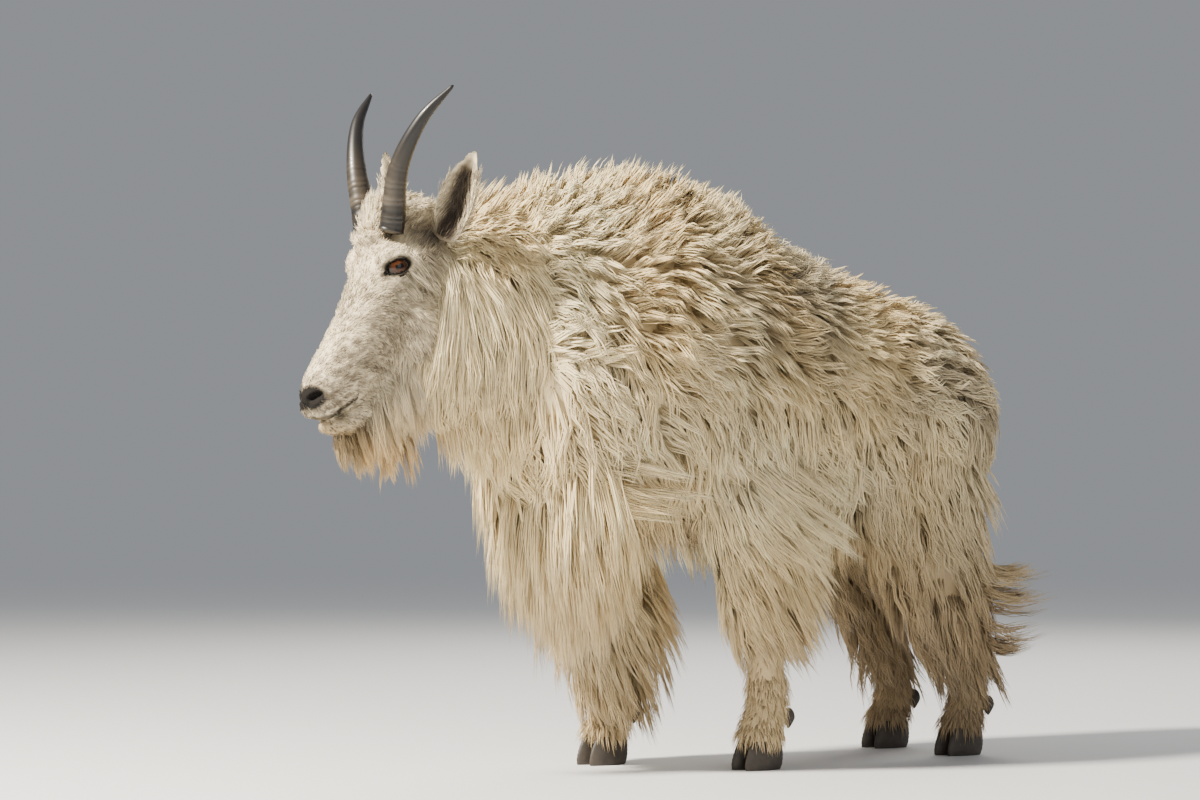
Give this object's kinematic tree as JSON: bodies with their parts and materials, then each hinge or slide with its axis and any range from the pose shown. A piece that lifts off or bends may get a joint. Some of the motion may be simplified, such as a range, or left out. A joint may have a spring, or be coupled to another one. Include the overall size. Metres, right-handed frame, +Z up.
{
  "type": "mountain goat",
  "caption": "Mountain goat standing at rest, with a high shaggy hump, curved horns, a beard and long hair on its upper legs.",
  "frame": {"origin": "bottom centre of the box round the whole animal, on the floor it stands on", "axes": "+X towards the nose, +Y to the animal's left, +Z up"},
  "size_m": [1.2136, 0.4096, 0.945],
  "materials": {
    "coat": "long matted ivory wool with cream and grey shadows",
    "face_coat": "short off-white fur",
    "leg_coat": "cream fur turning tan towards the feet",
    "ear_fur": "short fur, dark inside",
    "horn": "black keratin, ringed and grey-brown towards the base",
    "eye": "wet dark brown",
    "hoof": "worn black keratin"
  },
  "bodies": {
    "root": {"dewclaw_fore_left_inner": "hoof", "dewclaw_fore_left_outer": "hoof", "dewclaw_fore_right_inner": "hoof", "dewclaw_fore_right_outer": "hoof", "dewclaw_hind_left_inner": "hoof", "dewclaw_hind_left_outer": "hoof", "dewclaw_hind_right_inner": "hoof", "dewclaw_hind_right_outer": "hoof", "ear_left": "ear_fur", "ear_right": "ear_fur", "eye_left": "eye", "eye_right": "eye", "head": "face_coat", "hoof_fore_left_inner": "hoof", "hoof_fore_left_outer": "hoof", "hoof_fore_right_inner": "hoof", "hoof_fore_right_outer": "hoof", "hoof_hind_left_inner": "hoof", "hoof_hind_left_outer": "hoof", "hoof_hind_right_inner": "hoof", "hoof_hind_right_outer": "hoof", "horn_left": "horn", "horn_right": "horn", "leg_fore_left": "leg_coat", "leg_fore_right": "leg_coat", "leg_hind_left": "leg_coat", "leg_hind_right": "leg_coat", "neck": "coat", "tail": "coat", "torso": "coat"}
  },
  "joints": []
}
